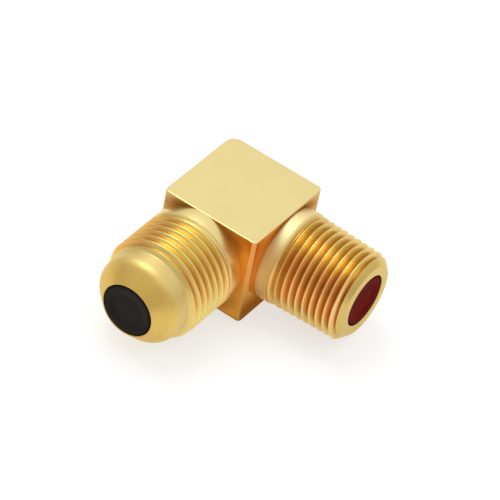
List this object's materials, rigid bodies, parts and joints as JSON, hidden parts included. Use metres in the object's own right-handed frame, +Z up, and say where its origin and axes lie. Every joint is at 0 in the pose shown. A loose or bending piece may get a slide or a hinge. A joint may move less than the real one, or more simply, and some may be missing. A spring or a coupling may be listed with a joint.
{
  "type": "elbow flare fitting",
  "caption": "Brass 90 degree elbow joining a 45 degree flare end with a straight thread to a tapered pipe end, with a push-in protective plug in each bore.",
  "frame": {"origin": "on the block's base face, straight below the point where the axes of the two bores cross", "axes": "+X along the pipe leg's bore towards its end, -Y along the flare leg's bore towards its lip, +Z up through the block, square to both bores"},
  "size_m": [0.0374, 0.0401, 0.0191],
  "materials": {
    "body_brass": "machined, satin",
    "plug_black": "moulded, satin",
    "plug_red": "moulded, satin"
  },
  "bodies": {
    "elbow": {"elbow_body": "body_brass"},
    "flare_plug": {"flare_end_plug": "plug_black"},
    "pipe_plug": {"pipe_end_plug": "plug_red"}
  },
  "joints": [
    {"name": "flare_plug_pull", "type": "slide", "parent": "elbow", "child": "flare_plug", "axis": [0, -1, 0], "range_m": [0, 0.013]},
    {"name": "pipe_plug_pull", "type": "slide", "parent": "elbow", "child": "pipe_plug", "axis": [1, 0, 0], "range_m": [0, 0.013]}
  ]
}
